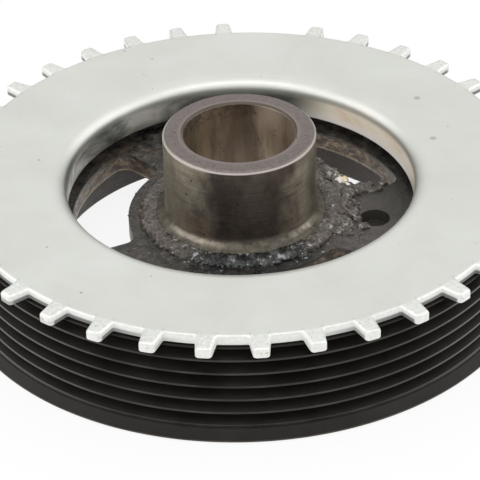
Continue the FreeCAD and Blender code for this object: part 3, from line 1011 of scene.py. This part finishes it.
# %% Weld bead nodes
def weld_bead():
    sizes = {"Bead radius": 21.8, "Half width": 2.5, "Height": 1.55, "Ripples": 84,
             "Ripple height": 0.34, "Lump height": 0.95, "Seed": 3.0}
    tree, size = sized_tree("weld_bead", sizes)
    path = put(tree, "GeometryNodeCurvePrimitiveCircle",
               {"Resolution": 840, "Radius": size["Bead radius"]})
    tube = put(tree, "GeometryNodeCurvePrimitiveCircle",
               {"Resolution": 28, "Radius": size["Half width"]})
    swept = put(tree, "GeometryNodeCurveToMesh",
                {"Curve": path.outputs[0], "Profile Curve": tube.outputs[0]})
    spot = put(tree, "GeometryNodeInputPosition").outputs[0]
    x, y, _ = put(tree, "ShaderNodeSeparateXYZ", {0: spot}).outputs
    radius, angle = polar(tree, x, y)
    aside = minus(tree, radius, size["Bead radius"])
    behind = times(tree, times(tree, aside, aside), 0.9)
    phase = plus(tree, times(tree, calc(tree, "DIVIDE", angle, 360.0), size["Ripples"]),
                 times(tree, behind, 0.3))
    wave = calc(tree, "ABSOLUTE", calc(tree, "SINE", times(tree, phase, math.pi)))
    swell = put(tree, "ShaderNodeTexNoise", {"Vector": spot, "W": size["Seed"], "Scale": 0.33,
                                             "Detail": 5.0, "Roughness": 0.65},
                noise_dimensions="4D").outputs[0]
    fading = step_up(tree, swell, 0.38, 0.55)
    push = plus(tree, times(tree, times(tree, wave, fading), size["Ripple height"]),
                times(tree, minus(tree, swell, 0.5), times(tree, size["Lump height"], 2.0)))
    normal = put(tree, "GeometryNodeInputNormal").outputs[0]
    shift = put(tree, "ShaderNodeVectorMath", {0: normal, "Scale": push}, operation="SCALE")
    rough = put(tree, "GeometryNodeSetPosition", {0: swept.outputs[0],
                                                  "Offset": shift.outputs[0]})
    flat = put(tree, "ShaderNodeCombineXYZ", {
        0: 1.0, 1: 1.0, 2: calc(tree, "DIVIDE", size["Height"], size["Half width"])})
    placed = put(tree, "GeometryNodeTransform", {
        0: rough.outputs[0], "Scale": flat.outputs[0], "Translation": (0, 0, web_top)})
    close_tree(tree, placed.outputs[0], black_weld)
    return grown("rippled_weld", tree, sizes, 80.0)


weld = weld_bead()
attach(weld, "root")
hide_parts("weld_bead")

# %% [markdown]
# ## Where spatter falls
# Welding throws small drops that freeze on the web near the bead. Points are strewn over the
# disc's own upper face, thinner further out and only in a sector where one is asked for, so
# no drop hangs over a window. Overhang then moves them back, for drops that run over an edge.

# %% Points for the drops
def chance(tree, low, high, seed):
    """A random number for each point; each use of it has its own fixed seed."""
    return put(tree, "FunctionNodeRandomValue", {2: low, 3: high, "Seed": seed}).outputs[1]


def strewn(tree, size, spot):
    """Nodes for the drops' points on the hub disc."""
    disc = put(tree, "GeometryNodeTransform", {0: drawn(tree, nodes["hub_disc"]),
                                               "Scale": (1000, 1000, 1000)})
    x, y, z = put(tree, "ShaderNodeSeparateXYZ", {0: spot}).outputs
    radius, angle = polar(tree, x, y)
    facing = put(tree, "ShaderNodeSeparateXYZ",
                 {0: put(tree, "GeometryNodeInputNormal").outputs[0]}).outputs[2]
    upper = times(tree, calc(tree, "GREATER_THAN", facing, 0.9),
                  calc(tree, "GREATER_THAN", z, web_top - 0.1),
                  calc(tree, "LESS_THAN", z, web_top + 0.1))
    points = put(tree, "GeometryNodeDistributePointsOnFaces", {
        "Mesh": disc.outputs[0], "Selection": upper,
        "Density": calc(tree, "DIVIDE", size["Drops per cm2"], 100.0), "Seed": size["Seed"]})
    away = calc(tree, "MODULO", plus(tree, minus(tree, angle, size["Sector middle"]), 540.0),
                360.0)
    away = calc(tree, "ABSOLUTE", minus(tree, away, 180.0))
    reach = step_down(tree, radius, size["Nearest"], size["Farthest"])
    outside = plus(tree, calc(tree, "GREATER_THAN", away, size["Sector half"]),
                   calc(tree, "LESS_THAN", radius, minus(tree, size["Nearest"], 1.0)))
    thin = chance(tree, 0.0, 1.0, size["Seed"])
    dropped = plus(tree, outside, calc(tree, "GREATER_THAN", thin, reach))
    kept = put(tree, "GeometryNodeDeleteGeometry", {0: points.outputs[0], 1: dropped},
               domain="POINT")
    along = put(tree, "ShaderNodeCombineXYZ", {1: size["Overhang"]}).outputs[0]
    return put(tree, "GeometryNodeSetPosition", {0: kept.outputs[0], "Offset": along}).outputs[0]

# %% [markdown]
# ## Spatter
# Each point carries a squashed ball, and Roughen pushes its skin about by noise until
# neighbours run together into a crust. The same tree makes the fine spatter all round, the
# coarse crust at the right, the crust on the window's edge, and a few drops in front.

# %% Spatter nodes
PLAIN_DROPS = {"Drops per cm2": 30.0, "Nearest": 23.5, "Farthest": 30.0, "Sector middle": 0.0,
               "Sector half": 180.0, "Smallest": 0.15, "Largest": 0.4, "Roughen": 0.0,
               "Overhang": 0.0, "Ball detail": 2, "Seed": 1}


def spatter(name, wanted, material):
    sizes = {**PLAIN_DROPS, **wanted}
    tree, size = sized_tree("spatter", sizes)
    spot = put(tree, "GeometryNodeInputPosition").outputs[0]
    ball = put(tree, "GeometryNodeMeshIcoSphere", {"Radius": 1.0,
                                                   "Subdivisions": size["Ball detail"]})
    big = calc(tree, "POWER", chance(tree, 0.0, 1.0, 7), 2.2)
    big = plus(tree, size["Smallest"], times(
        tree, big, minus(tree, size["Largest"], size["Smallest"])))
    shape = put(tree, "ShaderNodeCombineXYZ", {
        0: times(tree, big, chance(tree, 0.8, 1.5, 11)), 1: big,
        2: times(tree, big, chance(tree, 0.45, 0.85, 9))})
    spin = put(tree, "ShaderNodeCombineXYZ", {2: chance(tree, 0.0, 6.28, 13)})
    drops = put(tree, "GeometryNodeInstanceOnPoints", {
        "Points": strewn(tree, size, spot), "Instance": ball.outputs[0],
        "Rotation": spin.outputs[0], "Scale": shape.outputs[0]})
    drops = put(tree, "GeometryNodeRealizeInstances", {0: drops.outputs[0]})
    warp = put(tree, "ShaderNodeTexNoise", {"Vector": spot, "Scale": 0.8, "Detail": 4.0,
                                            "Roughness": 0.6}).outputs["Color"]
    warp = put(tree, "ShaderNodeVectorMath", {0: warp, 1: (0.5, 0.5, 0.5)}, operation="SUBTRACT")
    warp = put(tree, "ShaderNodeVectorMath", {
        0: warp.outputs[0], "Scale": times(tree, size["Roughen"], 2.0)}, operation="SCALE")
    drops = put(tree, "GeometryNodeSetPosition", {0: drops.outputs[0],
                                                  "Offset": warp.outputs[0]})
    close_tree(tree, drops.outputs[0], material)
    piece = grown(name, tree, sizes, 180.0)
    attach(piece, "root")


spatter("fine_spatter", {
    "Drops per cm2": 80.0, "Nearest": 22.6, "Farthest": 34.0, "Smallest": 0.10,
    "Largest": 0.45, "Roughen": 0.1, "Seed": 5}, black_weld)
spatter("spatter_crust", {
    "Drops per cm2": 75.0, "Nearest": 23.4, "Farthest": 31.0, "Sector middle": 103.0,
    "Sector half": 38.0, "Smallest": 0.5, "Largest": 2.1, "Roughen": 0.9,
    "Ball detail": 3, "Seed": 8}, bare_spatter)
spatter("window_crust", {
    "Drops per cm2": 190.0, "Nearest": 27.0, "Farthest": 38.0, "Sector middle": 118.0,
    "Sector half": 18.0, "Smallest": 0.6, "Largest": 1.9, "Roughen": 0.9,
    "Overhang": 1.6, "Ball detail": 3, "Seed": 21}, bare_spatter)
spatter("front_drops", {
    "Drops per cm2": 260.0, "Nearest": 24.0, "Farthest": 29.0, "Sector middle": -20.0,
    "Sector half": 10.0, "Smallest": 0.15, "Largest": 0.5, "Roughen": 0.1,
    "Seed": 4}, bare_spatter)

# %% [markdown]
# ## Floor and world
# The photograph is a studio shot on white. The floor and the sky show as white to the camera,
# and the floor still takes a faint shadow. The world is brighter overhead than at the
# horizon, as under a wide soft ceiling light, which keeps upright dark faces dark.

# %% Floor
WHITE = (1, 1, 1, 1)


def white_floor():
    material, tree, shader, _ = new_finish("white_floor")
    finish(tree, shader, (0.9, 0.9, 0.89, 1), 0.9)
    glow = put(tree, "ShaderNodeEmission", {"Color": WHITE})
    ray = put(tree, "ShaderNodeLightPath").outputs
    seen = calc(tree, "MAXIMUM", times(tree, ray["Is Camera Ray"], 0.88), ray["Is Glossy Ray"])
    blend = put(tree, "ShaderNodeMixShader", {0: seen, 1: shader.outputs[0], 2: glow.outputs[0]})
    tree.links.new(blend.outputs[0], tree.nodes["Material Output"].inputs["Surface"])
    return told(material)


half = 3.0
low = -0.00005
floor_mesh = bpy.data.meshes.new("floor")
floor_mesh.from_pydata([(-half, -half, low), (half, -half, low), (half, half, low),
                        (-half, half, low)], [], [(0, 1, 2, 3)])
floor = added("floor", floor_mesh)
floor_mesh.materials.append(white_floor())

# %% World
world = bpy.data.worlds.new("studio")
bpy.context.scene.world = world
world.use_nodes = True
sky = world.node_tree
backdrop = sky.nodes["Background"]
aim = put(sky, "ShaderNodeTexCoord").outputs["Generated"]
height = put(sky, "ShaderNodeSeparateXYZ", {0: aim}).outputs[2]
sky.links.new(step_up(sky, height, -0.1, 1.0, 0.5, 0.95), backdrop.inputs["Strength"])
backdrop.inputs["Color"].default_value = WHITE
ray = put(sky, "ShaderNodeLightPath").outputs
walls = step_up(sky, height, 0.0, 0.45, 0.35, 1.0)
seen = put(sky, "ShaderNodeBackground", {
    "Color": WHITE, "Strength": calc(sky, "MAXIMUM", ray["Is Camera Ray"], walls)})
shown = calc(sky, "MAXIMUM", ray["Is Camera Ray"], ray["Is Glossy Ray"])
blend = put(sky, "ShaderNodeMixShader", {0: shown, 1: backdrop.outputs[0], 2: seen.outputs[0]})
sky.links.new(blend.outputs[0], sky.nodes["World Output"].inputs["Surface"])
print("floor %.0f m wide, world of %d nodes" % (2 * half, len(sky.nodes)))

# %% [markdown]
# ## Lamps
# A narrow soft box high up on the camera's side brightens the upper faces. One at each side
# gives the collar its long highlights and lifts the rib crests from the dark grooves.

# %% Soft boxes
def softbox(name, place, aim, size, watts):
    data = bpy.data.lights.new(name, "AREA")
    data.shape = "RECTANGLE"
    data.size, data.size_y = size
    data.energy = watts
    lamp = added(name, data)
    lamp.location = place
    lamp.rotation_euler = (Vector(aim) - Vector(place)).to_track_quat("-Z", "Y").to_euler()
    print("%s: %.1f W" % (name, watts))


softbox("softbox_above", (0.0, -0.42, 1.0), (0, 0, 0), (1.3, 0.35), 2.4)
softbox("softbox_left", (-1.0, -0.1, 0.5), (0, 0, 0.02), (1.3, 0.9), 3.8)
softbox("softbox_right", (1.0, 0.1, 0.5), (0, 0, 0.02), (1.3, 0.9), 3.4)
